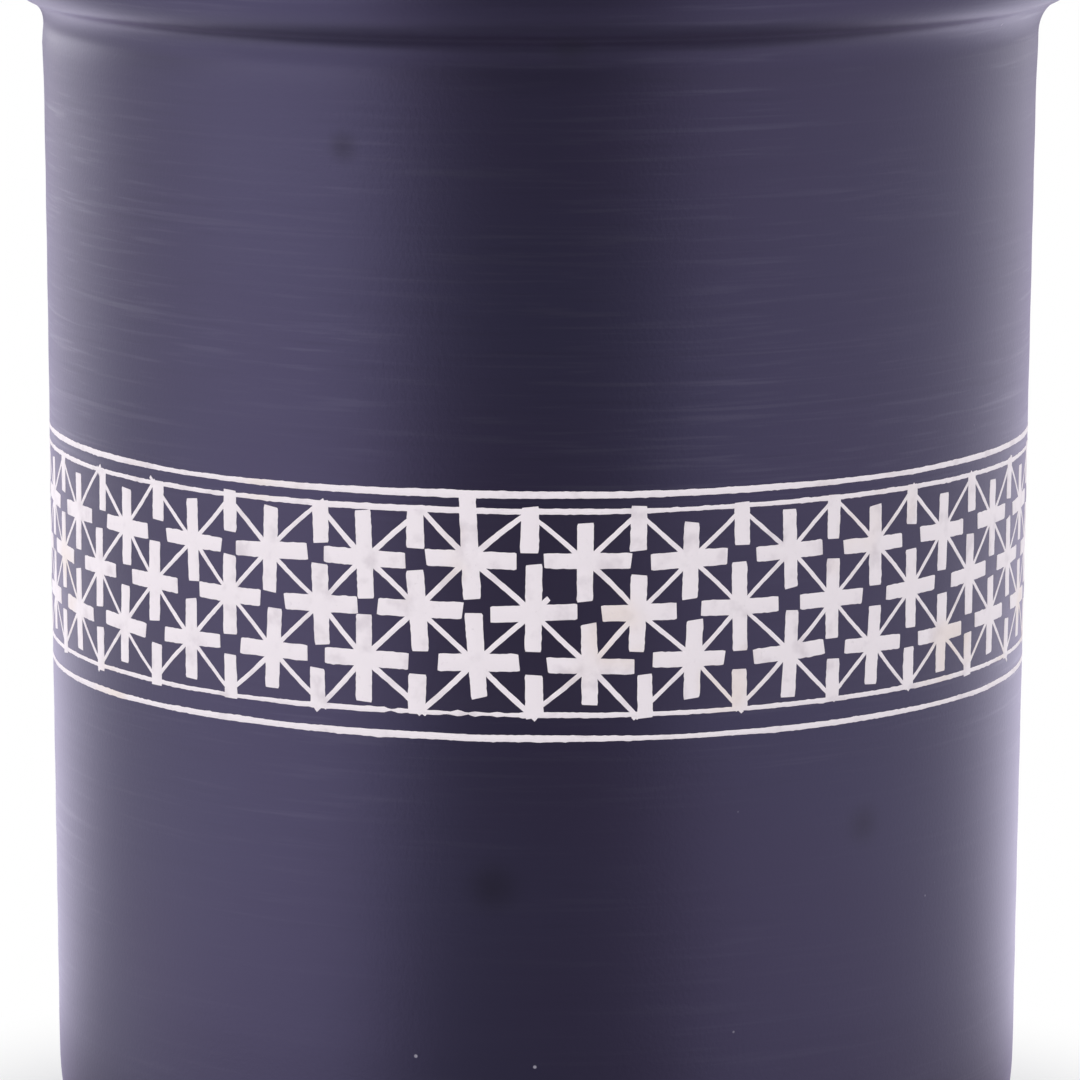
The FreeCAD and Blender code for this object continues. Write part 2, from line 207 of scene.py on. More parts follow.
WAVE_DEPTH = 0.10 * MM  # of the long waves in the thrown wall
FINGER_STEP, FINGER_DEPTH = 7.5 * MM, 0.012 * MM  # the faint rings that fingers left outside
SWELL, SWELL_REACH = 0.11 * MM, 3.0 * MM  # how the wall fills out under the neck
SETBACK = 0.12 * MM  # keeps the thrown wall within the true one
RIDGE_STEP, RIDGE_HEIGHT = 5.2 * MM, 0.16 * MM  # the spiral that fingers left inside


def hand_thrown(angle, height):
    """How far the thrown wall stands out from the true one: long waves, finger rings and the neck's swell."""
    waves = wander(angle, height, 60 * MM, 1) * WAVE_DEPTH
    rings = math.sin(height / FINGER_STEP * TURN + 2 * wander(angle, height, 50 * MM, 2)) * FINGER_DEPTH
    swell = math.exp(-((min(0.0, height - NECK_HEIGHT) / SWELL_REACH) ** 2)) * SWELL
    return waves + rings + swell - SETBACK


def throwing_rings(angle, height):
    """How far the inside stands out from the true one: the spiral ridges that fingers leave."""
    turns = height / RIDGE_STEP + angle / TURN + 0.8 * wander(angle, height, 40 * MM, 3)
    return math.cos(turns * TURN) * RIDGE_HEIGHT + wander(angle, height, 9 * MM, 4) * RIDGE_HEIGHT / 2


def on_wall(angle, height, lift=0.0):
    """A point on the outside of the wall, lift above the clay."""
    radius = wall_radius(height) + hand_thrown(angle, height) + lift
    return (radius * math.sin(angle), -radius * math.cos(angle), height)


def new_piece(name, points, faces, node, material, sharp=None):
    """A finished mesh that stands for a node of the frame."""
    mesh = bpy.data.meshes.new(name)
    mesh.from_pydata(points, [], faces)
    mesh.validate()
    mesh.shade_smooth()
    if sharp:
        mesh.set_sharp_from_angle(angle=math.radians(sharp))
    mesh.materials.append(material)
    piece = bpy.data.objects.new(name, mesh)
    bpy.context.scene.collection.objects.link(piece)
    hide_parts(node)
    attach(piece, "root")


AROUND = 288  # points in each ring of the skin
LIP_RISE, LIP_TILT = 0.75 * MM, 0.30 * MM  # the roll sits this much higher, and more so on the right
LIP_SAG = 0.22 * MM  # how far the lip has sunk at its lowest
LIP_INSET = 0.45 * MM  # the roll is drawn in by up to about twice this, most on the left
LIP_STARTS, LIP_BLEND = NECK_HEIGHT - 1.0 * MM, 5.5 * MM  # where that sets in, and over what height
FOOT_BLEND = 4 * MM  # the wall's unevenness sets in over this height
CALM_RADIUS = 20 * MM  # the ridges inside fade from here to the middle of the floor
FLOOR_RING_STEP, FLOOR_RING_HEIGHT = 4.6 * MM, 0.10 * MM  # the spiral on the floor inside
FLOOR_RING_TOP = FLOOR_HEIGHT + 3 * MM


def uneven(angle, radius, height, outside):
    """How far outwards and upwards the hand took a point of the true skin."""
    lip = eased((height - LIP_STARTS) / LIP_BLEND)
    up = 0.0
    if outside:
        out = hand_thrown(angle, height) * min(1.0, height / FOOT_BLEND)
        roll = min(1.0, max(0.0, (height - NECK_HEIGHT) / (POT_HEIGHT - NECK_HEIGHT)))
        up = math.sin(roll * math.pi) * (LIP_RISE + LIP_TILT * math.sin(angle))
    else:
        out = throwing_rings(angle, height) * (1 - lip) * min(1.0, radius / CALM_RADIUS)
        out += hand_thrown(angle, height) * lip
    if lip:
        over = eased((radius - MOUTH_RADIUS) / (LIP_RADIUS - MOUTH_RADIUS))  # from the mouth to the rim
        if height < POT_HEIGHT - LIP_OUTER_ROUND:
            over = float(outside)
        up += (wander(angle, 0, 45 * MM, 5) * 0.5 - 0.5) * LIP_SAG * lip
        out += (math.sin(angle) - 1.1) * LIP_INSET * lip * over
    if not outside and height < FLOOR_RING_TOP:
        up = math.cos(radius / FLOOR_RING_STEP * TURN + angle) * FLOOR_RING_HEIGHT
    return out, up


def thrown_clay(material):
    """The whole pot as one turned skin, pushed in and out as a hand-thrown wall is."""
    outline = pot_outline()
    top = max(range(len(outline)), key=lambda i: outline[i][1])
    points, faces = [], []
    for ring, (radius, height) in enumerate(outline):
        for step in range(AROUND):
            angle = TURN * step / AROUND
            out, up = uneven(angle, radius, height, ring < top)
            place = radius + out
            points.append((place * math.sin(angle), -place * math.cos(angle), height + up))
    for ring in range(len(outline) - 1):
        for step in range(AROUND):
            a, b = ring * AROUND + step, ring * AROUND + (step + 1) % AROUND
            faces.append((a, b, b + AROUND, a + AROUND))
    faces.append(tuple(reversed(range(AROUND))))
    last = (len(outline) - 1) * AROUND
    faces.append(tuple(range(last, last + AROUND)))
    new_piece("thrown_clay", points, faces, "clay_pot", material)


# ------------------------------------------------------------------------------- the hand-cut band

PASTE_DEPTH = 0.25 * MM  # how deep the paste's sides run into the clay
# How high the paste stands above the clay. Where cuts cross, one lies a little over the other.
UPRIGHT_LIFT, LEVEL_LIFT, BORDER_BAR_LIFT = 0.0400 * MM, 0.0372 * MM, 0.0424 * MM
LINE_LIFT, HAIRLINE_LIFT = 0.030 * MM, 0.022 * MM
# How far the edges of a cut wander.
BAR_RAGGED, LINE_RAGGED, HAIRLINE_RAGGED = 0.13 * MM, 0.12 * MM, 0.07 * MM
# The paste's section from side to side: shares of half its width, and of its lift.
PASTE_SECTION = ((-1.0, -1.0), (-0.97, 0.45), (-0.82, 1.0), (0.0, 1.15), (0.82, 1.0), (0.97, 0.45), (1.0, -1.0))
RAGGED_STEP = 0.75 * MM  # along the edge, from one bulge to the next
END_NARROWING = 0.92  # a bar's width at its ends, as a share of the rest
END_SLANT = 0.16  # how far off square a bar's end is cut, as a share of half its width
PLACING, PLACING_UP = 0.16 * MM, 0.15 * MM  # how far off the hand sets a cut, along and across the row
HAIRLINE_PLACING = 0.22 * MM
ARM_SPREAD = 0.07  # how uneven the lengths of arms are, as a share
BAR_BOW, HAIRLINE_BOW = 0.05 * MM, 0.22 * MM  # how far from straight a cut bows
BAR_STEP, HAIRLINE_STEP = 0.32 * MM, 0.42 * MM  # from point to point along a cut
POKE, POKE_SPREAD = 0.32 * MM, 0.30 * MM  # how far border bars poke through their ring line
PAST_LINE, PAST_SPREAD = 1.09, 0.06  # how far hairlines run past the border line, as shares of their length
LONG_WAVE, SHORT_WAVE = 0.16 * MM, 0.05 * MM  # how wavy the ring lines are


def filled_cut(points, faces, path, half_width, lift, seed, ragged, closed=False):
    """Adds one filled cut to a mesh: a low bar of paste that follows a path of (angle, height) places.

    Half_width is a function of the share of the path that is done. The edges wander by up to ragged.
    """
    count, first = len(path), len(points)
    for step, (angle, height) in enumerate(path):
        before = path[step - 1] if step or closed else path[step]
        after = path[(step + 1) % count] if step < count - 1 or closed else path[step]
        turn_by = (after[0] - before[0] + math.pi) % TURN - math.pi
        along = Vector((turn_by * wall_radius(height), after[1] - before[1])).normalized()
        side = Vector((-along.y, along.x))
        end_on = not closed and step in (0, count - 1)
        near_end = not closed and step in (1, count - 2)
        slant = hand(seed + 3 + 5 * (step > 1), END_SLANT) if end_on or near_end else 0.0
        wide = half_width(step / (count - 1)) * (END_NARROWING if end_on or near_end else 1.0)
        for share, level in PASTE_SECTION:
            edge = 1 if share > 0 else 2
            wobble = wander(angle, height, RAGGED_STEP, seed + edge * 0.31) * ragged * abs(share)
            width = wide * share + math.copysign(wobble, share)
            rise = -PASTE_DEPTH if end_on or level < 0 else lift * level
            place = side * width + along * (width * slant)
            points.append(on_wall(angle + place.x / wall_radius(height), height + place.y, rise))
    lanes = len(PASTE_SECTION)
    for step in range(count if closed else count - 1):
        for lane in range(lanes - 1):
            a = first + step * lanes + lane
            b = first + ((step + 1) % count) * lanes + lane
            faces.append((a, b, b + 1, a + 1))


def filled_piece(node, points, faces, material):
    """All the filled cuts of one node as one finished piece."""
    new_piece("filled_" + node, points, faces, node, material, sharp=40)


def tapered(first, last):
    """Half the width along a cut whose full width goes evenly from first to last."""
    return lambda share: (first + (last - first) * share) / 2


END_SLOPE = 0.09 * MM  # a bar's end turns down over this much of its length


def straight_cut(start, end, bow=0.0, step=BAR_STEP):
    """A path on the wall from start to end, bowed sideways by a hand that isn't quite steady."""
    span = Vector(((end[0] - start[0]) * wall_radius(start[1]), end[1] - start[1]))
    side = Vector((-span.y, span.x)).normalized()
    steps = max(4, round(span.length / step))
    inset = END_SLOPE / span.length
    shares = [0.0, inset, *(i / steps for i in range(1, steps)), 1 - inset, 1.0]
    path = []
    for share in shares:
        off = side * (bow * math.sin(share * math.pi))
        angle = start[0] + (end[0] - start[0]) * share + off.x / wall_radius(start[1])
        path.append((angle, start[1] + (end[1] - start[1]) * share + off.y))
    return path


def hand(seed, spread):
    """A hand's error, up to about the spread either way and always the same for the same seed."""
    return noise.noise(Vector((seed * 3.71 + 0.37, seed * 1.93 + 5.1, seed * 0.77 + 2.9))) * 1.6 * spread


# Stars and border bars that the hand set off their place: millimetres to the right and up.
OFF_PLACE = {
    (UPPER_ROW, -5): (0.45, 0.0),
    (UPPER_ROW, -4): (0.50, -0.1),
    (UPPER_ROW, -3): (-0.30, 0.0),
    (UPPER_ROW, -2): (-0.60, 0.0),
    (UPPER_ROW, -1): (-0.45, 0.15),
    (UPPER_ROW, 0): (0.10, 0.15),
    (UPPER_ROW, 2): (0.20, 0.25),
    (MIDDLE_ROW, -1): (-0.37, 0.1),
    (MIDDLE_ROW, 0): (0.43, -0.1),
    (LOWER_ROW, -2): (-0.58, -0.1),
    (LOWER_ROW, -1): (0.10, 0.1),
    (LOWER_ROW, 0): (0.60, -0.33),
    (LOWER_ROW, 1): (0.40, 0.2),
    (LOWER_ROW, 2): (0.20, 0.25),
    (LOWER_ROW, 4): (0.0, -0.4),
    ("upper_border_bars", -5): (0.90, 0.0),
    ("upper_border_bars", -4): (0.75, 0.0),
    ("upper_border_bars", -1): (-0.68, 0.0),
    ("lower_border_bars", -2): (-0.40, 0.0),
    ("lower_border_bars", -1): (-0.70, 0.0),
    ("lower_border_bars", 0): (0.46, 0.0),
    ("lower_border_bars", 1): (1.00, 0.0),
}
# Stars that lean, in degrees to the left.
LEANING = {(UPPER_ROW, -1): 2.9, (MIDDLE_ROW, -1): 4.0, (LOWER_ROW, -1): 4.0, (LOWER_ROW, 3): -3.6}
# Arms of the front stars, as multiples of the usual length: up, down, left and right.
FRONT_ARMS = {
    (UPPER_ROW, -3): (1.08, 1.04, 1.00, 1.02),
    (UPPER_ROW, -2): (1.17, 1.01, 1.04, 1.01),
    (UPPER_ROW, -1): (1.62, 0.98, 1.06, 1.09),
    (UPPER_ROW, 0): (0.93, 1.00, 0.97, 1.09),
    (UPPER_ROW, 1): (0.92, 0.98, 0.97, 0.92),
    (UPPER_ROW, 2): (1.04, 0.92, 0.91, 0.91),
    (UPPER_ROW, 3): (0.97, 1.04, 1.00, 0.91),
    (MIDDLE_ROW, -1): (0.95, 1.05, 0.98, 1.08),
    (MIDDLE_ROW, 0): (1.20, 0.95, 1.01, 1.03),
    (MIDDLE_ROW, 1): (0.93, 0.97, 0.86, 0.94),
    (MIDDLE_ROW, 2): (1.10, 1.10, 0.98, 1.02),
    (LOWER_ROW, -2): (1.09, 1.07, 1.00, 1.10),
    (LOWER_ROW, -1): (1.22, 0.88, 0.92, 1.00),
    (LOWER_ROW, 0): (1.05, 0.96, 0.99, 1.07),
    (LOWER_ROW, 1): (0.96, 0.99, 0.99, 0.79),
    (LOWER_ROW, 2): (1.03, 1.13, 0.99, 0.96),
}


BOLDEST_AT, BOLD_SPREAD = -9, 24  # degrees


def bold(angle):
    """From 0 to 1, how boldly the hand cut: at its boldest a little to the left of the front star."""
    turned = math.degrees((angle + math.pi) % TURN - math.pi)
    return math.exp(-(((turned - BOLDEST_AT) / BOLD_SPREAD) ** 2))


def star_place(row, column):
    """Where a star's centre was cut. Middle-row stars stand half a pitch from the others."""
    between = 0.0 if row == MIDDLE_ROW else 0.5
    seed = column * 7 + {UPPER_ROW: 11, MIDDLE_ROW: 23, LOWER_ROW: 37}[row]
    aside, up = OFF_PLACE.get((row, column), (0, 0))
    aside = aside * MM + hand(seed, PLACING)
    angle = (column + between) * PITCH + aside / wall_radius(middle_height(row))
    return angle, middle_height(row) + hand(seed + 0.5, PLACING_UP) + up * MM


def arm(centre, turned, reach):
    """The far end of an arm that leaves a centre at an angle, in degrees from level."""
    away = math.radians(turned)
    return (
        centre[0] + math.cos(away) * reach / wall_radius(centre[1]),
        centre[1] + math.sin(away) * reach,
    )


def arm_lengths(row, column, seed):
    """How far a star's arms reach up, down, left and right."""
    level = 0.91 + 0.09 * bold(star_place(row, column)[0])
    turns = ((1, 1.0), (2, 1.0), (7, level), (8, level))
    usual = [share * (1 + hand(seed + more, ARM_SPREAD)) for more, share in turns]
    halves = (BAR_LENGTH / 2, BAR_LENGTH / 2, LEVEL_BAR_LENGTH / 2, LEVEL_BAR_LENGTH / 2)
    return [half * share for half, share in zip(halves, FRONT_ARMS.get((row, column), usual))]


def broad_star(points, faces, row, column):
    """The two broad bars of one star."""
    centre = star_place(row, column)
    seed = column * 13 + {UPPER_ROW: 101, MIDDLE_ROW: 211, LOWER_ROW: 307}[row]
    up, down, left, right = arm_lengths(row, column, seed)
    broad = BAR_WIDTH * (0.95 + 0.11 * bold(centre[0]))
    tilt = 90 + LEANING.get((row, column), hand(seed, 2.6))
    upright = straight_cut(arm(centre, tilt + 180, down), arm(centre, tilt, up), hand(seed + 3, BAR_BOW))
    width = tapered(broad * (1 + hand(seed + 4, 0.10)), broad * (1.03 + hand(seed + 12, 0.10)))
    filled_cut(points, faces, upright, width, UPRIGHT_LIFT, seed + 5, BAR_RAGGED)
    tilt = hand(seed + 6, 3.0)
    level = straight_cut(arm(centre, tilt + 180, left), arm(centre, tilt, right), hand(seed + 9, BAR_BOW))
    width = tapered(broad * (0.97 + hand(seed + 10, 0.10)), broad * (1 + hand(seed + 13, 0.10)))
    filled_cut(points, faces, level, width, LEVEL_LIFT, seed + 11, BAR_RAGGED)


def cross_row(row, material):
    points, faces = [], []
    for column in COLUMNS:
        broad_star(points, faces, row, column)
    filled_piece(row, points, faces, material)


def border_bars(node, line, inwards, material):
    """The short bars that hang from, or stand on, an inner ring line and poke a little way through it."""
    points, faces = [], []
    for column in COLUMNS:
        seed = column * 17 + (401 if inwards < 0 else 503)
        aside = OFF_PLACE.get((node, column), (0, 0))[0] * MM + hand(seed, PLACING)
        angle = column * PITCH + aside / wall_radius(middle_height(line))
        base = (angle, middle_height(line) - inwards * (POKE + hand(seed + 1, POKE_SPREAD)))
        reach = BAR_LENGTH / 2 * (1 + hand(seed + 2, 0.10))
        tip = (angle + hand(seed + 3, 0.15 * MM) / wall_radius(base[1]), middle_height(line) + inwards * reach)
        broad = BAR_WIDTH * (0.92 + 0.11 * bold(angle))
        width = tapered(broad * (1 + hand(seed + 4, 0.12)), broad * (1.05 + hand(seed + 6, 0.14)))
        filled_cut(points, faces, straight_cut(base, tip), width, BORDER_BAR_LIFT, seed + 5, BAR_RAGGED)
    filled_piece(node, points, faces, material)


# The hairline that stopped short: its gap, the column of its upper star and the side it lies on.
UNFINISHED_HAIRLINE, MISSING_SHARE = ("hairlines_upper_to_middle", 0, -1), 0.70


def hairline_gap(node, first_row, second, material):
    """The hairlines between a full row and the next one, or the border line that second names."""
    points, faces = [], []
    for column in COLUMNS:
        for side in (-1, 1):
            seed = column * 19 + side * 5 + sum(map(ord, node))
            start = star_place(first_row, column)
            if second in LINES:
                inwards = 1 if second == "lower_inner_line" else -1
                angle = (column + (0 if side < 0 else 1)) * PITCH + hand(seed, 0.25 * MM) / NECK_RADIUS
                end = (angle, middle_height(second) + inwards * (0.15 * MM + hand(seed + 1, 0.3 * MM)))
                past = PAST_LINE + hand(seed + 8, PAST_SPREAD)
            else:
                end, past = star_place(second, column + (0 if side < 0 else 1)), 1.0
            aside, up = hand(seed + 2, HAIRLINE_PLACING), hand(seed + 3, HAIRLINE_PLACING)
            start = (start[0] + aside / NECK_RADIUS, start[1] + up)
            end = tuple(a + (b - a) * past for a, b in zip(start, end))
            if (node, column, side) == UNFINISHED_HAIRLINE:
                start = tuple(a + (b - a) * MISSING_SHARE for a, b in zip(start, end))
            path = straight_cut(start, end, hand(seed + 4, HAIRLINE_BOW), step=HAIRLINE_STEP)
            fine = HAIRLINE_WIDTH * (0.84 + 0.28 * bold(start[0]))
            width = tapered(fine * (1.06 + hand(seed + 5, 0.16)), fine * (0.90 + hand(seed + 7, 0.16)))
            filled_cut(points, faces, path, width, HAIRLINE_LIFT, seed + 6, HAIRLINE_RAGGED)
    filled_piece(node, points, faces, material)


LINE_STEPS = 900  # points along a ring line
RUBBED_LINE, RUBBED_FROM, RUBBED_TO = "lower_inner_line", math.radians(-17), math.radians(-1)


def ring_line(node, seed, material):
    """A line scored around the pot, a little wavy and now broader, now finer, with its ends met on itself."""
    points, faces, path, widths = [], [], [], []
    for step in range(LINE_STEPS):
        angle = (TURN * step / LINE_STEPS + math.pi) % TURN - math.pi
        height = middle_height(node) + wander(angle, 0, 26 * MM, seed) * LONG_WAVE
        height += wander(angle, 0, 5 * MM, seed + 1) * SHORT_WAVE
        width = tallness(node) * (0.80 + 0.24 * bold(angle) + wander(angle, 0, 13 * MM, seed + 3) * 0.30)
        if node == RUBBED_LINE and RUBBED_FROM < angle < RUBBED_TO:  # its edge broke away here
            width *= 0.74 + wander(angle, 0, 0.9 * MM, seed + 4) * 1.15
        path.append((angle, height))
        widths.append(width / 2)

    def half_width(share):
        return widths[round(share * (LINE_STEPS - 1))]

    filled_cut(points, faces, path, half_width, LINE_LIFT, seed + 2, LINE_RAGGED, closed=True)
    filled_piece(node, points, faces, material)


# --------------------------------------------------------------------------------------- materials


class Wire:
    """A shader socket that can stand in a sum: each operator adds one Math node."""

    def __init__(self, paint, socket):
        self.paint, self.socket = paint, socket

    def math(self, operation, *others):
        return self.paint.node("ShaderNodeMath", {"operation": operation}, dict(enumerate((self, *others))))

    def __add__(self, other):
        return self.math("ADD", other)

    def __sub__(self, other):
        return self.math("SUBTRACT", other)

    def __mul__(self, other):
        return self.math("MULTIPLY", other)

    def __rsub__(self, other):
        return self * -1 + other

    __radd__ = __add__
    __rmul__ = __mul__

    def between(self, low, high):
        """0 below low, 1 above high and a smooth step between them."""
        limits = {"Value": self, "From Min": low, "From Max": high}
        return self.paint.node("ShaderNodeMapRange", {"interpolation_type": "SMOOTHSTEP"}, limits)

    def ramp(self, low, high):
        """Takes 0 to 1 over to low to high, in a straight line."""
        return self * (high - low) + low


class Paint:
    """The nodes of one material or world."""

    def __init__(self, tree):
        self.tree = tree
        tree.nodes.clear()

    def node(self, kind, settings=None, sockets=None, out=0):
        made = self.tree.nodes.new(kind)
        for name, value in (settings or {}).items():
            setattr(made, name, value)
        for name, value in (sockets or {}).items():
            if isinstance(value, Wire):
                self.tree.links.new(value.socket, made.inputs[name])
            else:
                made.inputs[name].default_value = value
        return Wire(self, made.outputs[out] if made.outputs else None)

    def mix(self, share, first, second):
        """First colour where share is 0, second where it is 1."""
        sockets = {0: share, 6: first, 7: second}
        return self.node("ShaderNodeMix", {"data_type": "RGBA"}, sockets, out=2)

    def noise(self, place, scale, detail=3.0, roughness=0.5):
        sockets = {"Vector": place, "Scale": scale, "Detail": detail, "Roughness": roughness}
        return self.node("ShaderNodeTexNoise", {}, sockets)

    def vector(self, operation, first, second=(0, 0, 0), out=0):
        return self.node("ShaderNodeVectorMath", {"operation": operation}, {0: first, 1: second}, out)

    def streaks(self, place, factors, detail=3.0, roughness=0.55):
        """A noise that is drawn out. Factors say how often it changes in a metre, along each axis."""
        return self.noise(self.vector("MULTIPLY", place, factors), 1.0, detail, roughness)

    def dots(self, place, spacing, radius, share, core=0.45):
        """Round spots scattered through the clay, in the given share of cells that are spacing wide.

        A spot is 1 inside its core, a share of its radius, and fades to 0 at its radius.
        """
        settings = {"feature": "F1"}
        sockets = {"Vector": place, "Scale": 1 / spacing, "Randomness": 1.0}
        distance = self.node("ShaderNodeTexVoronoi", settings, sockets)
        colour = Wire(self, distance.socket.node.outputs["Color"])
        chance = self.node("ShaderNodeSeparateColor", {}, {0: colour})
        kept = chance.math("LESS_THAN", share)
        return (1 - distance.between(radius / spacing * core, radius / spacing)) * kept

    def bump(self, height, distance, under=None):
        """A relief that is distance deep, laid over the relief under it if there is one."""
        sockets = {"Height": height, "Distance": distance, **({"Normal": under} if under else {})}
        return self.node("ShaderNodeBump", {}, sockets)

    def place(self):
        """Where a point lies on the object, in metres."""
        return self.node("ShaderNodeTexCoord", out=3)

    def output(self, shader, kind="ShaderNodeOutputMaterial"):
        self.node(kind, {}, {"Surface": shader})


def new_paint(name):
    material = bpy.data.materials.new(name)
    material.use_nodes = True
    return material, Paint(material.node_tree)


BURNISHED = (0.0090, 0.0085, 0.0230, 1)
BURNISHED_DEEP = (0.0095, 0.0062, 0.0200, 1)
# The polished strokes' colour: partly their own lighter tone, partly a painted highlight of their glint.
STROKE_LIGHT_AND_GLINT = (0.0170, 0.0155, 0.0300, 1)
STROKE_DARK = (0.0045, 0.0040, 0.0130, 1)
BAND_GROUND = (0.0130, 0.0090, 0.0180, 1)
MATT_INSIDE = (0.0200, 0.0180, 0.0230, 1)
SMUDGE = (0.0035, 0.0032, 0.0065, 1)
DUST = (0.42, 0.40, 0.45, 1)
PASTE_WHITE = (0.88, 0.81, 0.855, 1)
PASTE_GREY = (0.62, 0.55, 0.60, 1)
PASTE_WARM = (0.84, 0.72, 0.66, 1)
SATIN, UNPOLISHED = 0.35, 0.72  # roughness of the burnished and of the unburnished clay

# Round marks in the burnish: degrees around, height and radius in millimetres, and how much duller they are.
MARKS = ((-21, 110, 2.2, 0.16), (-4, 40, 3.6, -0.05), (41, 44, 3.0, 0.12))


def unburnished(paint, place, radius, height):
    """1 inside, up to a ragged edge under the lip's top, and underneath; 0 where the clay is burnished."""
    inside = radius.math("LESS_THAN", MOUTH_RADIUS + 0.6 * MM) * height.math("GREATER_THAN", 4 * MM)
    ragged_edge = paint.noise(place, 220) * (6 * MM)
    inside = inside * (1 - (height + ragged_edge).between(POT_HEIGHT - 6 * MM, POT_HEIGHT - 2 * MM))
    underneath = 1 - height.between(0.2 * MM, 1.6 * MM)
    underneath = underneath * radius.math("LESS_THAN", FOOT_RADIUS + 2.5 * MM)
    return inside.math("MAXIMUM", underneath)


def band_ground(height):
    """1 between the inner ring lines and 0 beyond them."""
    lower, upper = middle_height("lower_inner_line"), middle_height("upper_inner_line")
    edge = 0.2 * MM
    return height.between(lower - edge, lower) * (1 - height.between(upper, upper + edge))


def with_marks(paint, place, smudges):
    """The smudges with the round marks added, and how much duller they leave the burnish."""
    duller = smudges * 0.10
    for angle, level, reach, dullness in MARKS:
        away = paint.vector("DISTANCE", place, on_wall(math.radians(angle), level * MM), out=1)
        mark = 1 - away.between(0, reach * MM)
        smudges, duller = smudges.math("MAXIMUM", mark), duller + mark * dullness
    return smudges, duller


def burnished_clay():
    """Smoke-blackened clay: polished outside in level strokes, left matt inside and underneath."""
    material, paint = new_paint("burnished_black_clay")
    place = paint.place()
    parts = paint.node("ShaderNodeSeparateXYZ", {}, {0: place}).socket.node.outputs
    across, depth, height = (Wire(paint, part) for part in parts)
    radius = (across * across + depth * depth).math("SQRT")
    matt, band = unburnished(paint, place, radius, height), band_ground(height)

    strokes = paint.streaks(place, (75, 75, 1700))
    long_strokes = paint.streaks(place, (24, 24, 1150))
    # The stone went over some patches more than others, and over the upper wall most.
    worked = paint.streaks(place, (24, 24, 40), 2.0, 0.5).between(0.36, 0.60)
    worked = worked * height.between(20 * MM, 95 * MM).ramp(0.30, 1.0)
    clouds = paint.noise(place, 28, 3.0, 0.5)
    grain = paint.noise(place, 2600, 2.0, 0.6)
    smudges = paint.dots(place, spacing=26 * MM, radius=2.8 * MM, share=0.22, core=0.0) * (1 - band)
    smudges, duller = with_marks(paint, place, smudges)
    dust = paint.dots(place, spacing=6 * MM, radius=0.22 * MM, share=0.60) * (1 - band)
    light_strokes_and_glints = strokes.between(0.52, 0.74) * worked
    light_strokes_and_glints = light_strokes_and_glints + long_strokes.between(0.58, 0.72) * (worked * 0.7 + 0.1)
    dark_strokes = (1 - strokes.between(0.30, 0.46)) * (worked * 0.5 + 0.1)

    colour = paint.mix(clouds.between(0.35, 0.7), BURNISHED, BURNISHED_DEEP)
    colour = paint.mix(dark_strokes, colour, STROKE_DARK)
    # Partly painted highlight: the polished strokes get a lighter colour for their glint as well as for their
    # tone.
    colour = paint.mix(light_strokes_and_glints, colour, STROKE_LIGHT_AND_GLINT)
    colour = paint.mix(band * 0.5, colour, BAND_GROUND)
    colour = paint.mix(matt, colour, MATT_INSIDE)
    colour = paint.mix(smudges * 0.9, colour, SMUDGE)
    colour = paint.mix(dust * 0.7, colour, DUST)

    satin = SATIN + clouds * 0.03 - light_strokes_and_glints * 0.04 + dark_strokes * 0.04
    satin = satin + duller + band * 0.05 + dust * 0.3
    roughness = satin * (1 - matt) + matt * UNPOLISHED
    polish = light_strokes_and_glints * ((1 - matt) * (1 - band) * 0.17)

    stroke_relief = paint.bump(strokes * (worked * 0.5 + 0.15) + long_strokes * 0.3, 0.0025 * MM)
    relief = paint.bump(grain, 0.012 * MM, under=stroke_relief)
    sockets = {
        "Base Color": colour,
        "Roughness": roughness,
        "Normal": relief,
        "IOR": 1.86,
        "Coat Weight": polish,
        "Coat Roughness": 0.28,
        "Specular Tint": (0.67, 0.60, 1.0, 1),
        "Sheen Weight": 0.42,
        "Sheen Roughness": 0.30,
        "Sheen Tint": (0.74, 0.62, 1.0, 1),
    }
    paint.output(paint.node("ShaderNodeBsdfPrincipled", {}, sockets))
    return material


def silver_white_paste():
    """Chalky white paste rubbed into the cuts, a little greyer and warmer in places."""
    material, paint = new_paint("silver_white_paste")
    place = paint.place()
    patches = paint.noise(place, 380, 3.0, 0.55)
    warm = paint.noise(place, 95, 2.0, 0.5)
    grain = paint.noise(place, 2400, 3.0, 0.6)
    colour = paint.mix(patches.between(0.50, 0.76) * 0.55, PASTE_WHITE, PASTE_GREY)
    colour = paint.mix(warm.between(0.58, 0.75) * 0.6, colour, PASTE_WARM)
    colour = paint.mix(grain.between(0.62, 0.8) * 0.35, colour, PASTE_GREY)
    sockets = {
        "Base Color": colour,
        "Roughness": grain.ramp(0.50, 0.68),
        "Normal": paint.bump(grain, 0.02 * MM),
        "Specular Tint": (0.95, 0.92, 1.0, 1),
    }
    paint.output(paint.node("ShaderNodeBsdfPrincipled", {}, sockets))
    return material


# ------------------------------------------------------------------------------------- the setting


TENT_OPENING = 0.10  # how bright the room looks through the tent's open front, where white is 1
TENT_BACK = 0.45  # how bright the middle of the tent's back is
FRONT, FRONT_LEFT = (0, -1, 0), (-0.88, -0.47, 0)
COUNTED = (1, 1, 0.55)  # how much each axis counts towards a direction
# Tint of the floor's painted glow, which only the polish sees.
PAINTED_FLOOR_GLOW_TINT = (0.91, 0.89, 1.0, 1)
WHITE = (1, 1, 1, 1)
FLOOR_GREY = (0.86, 0.86, 0.87, 1)
FLOOR_REACH = 12.0


def facing(paint, direction, towards):
    """How far a direction agrees with another one, from -1 to 1, with heights counted less."""
    level = paint.vector("NORMALIZE", paint.vector("MULTIPLY", direction, COUNTED))
    return paint.vector("DOT_PRODUCT", level, towards, out=1)


def within(agreement, outer, inner):
    """1 up to inner degrees from a direction and 0 from outer ones on, by how far another agrees with it."""
    return agreement.between(math.cos(math.radians(outer)), math.cos(math.radians(inner)))


def tent_opening(front):
    """1 well inside the tent's open front and 0 outside it."""
    return within(front, 39, 14)


def tent_back(front):
    """1 in the middle of the tent's back, where it hangs away from the lamps, and 0 beside it."""
    return within(front * -1, 30, 8)


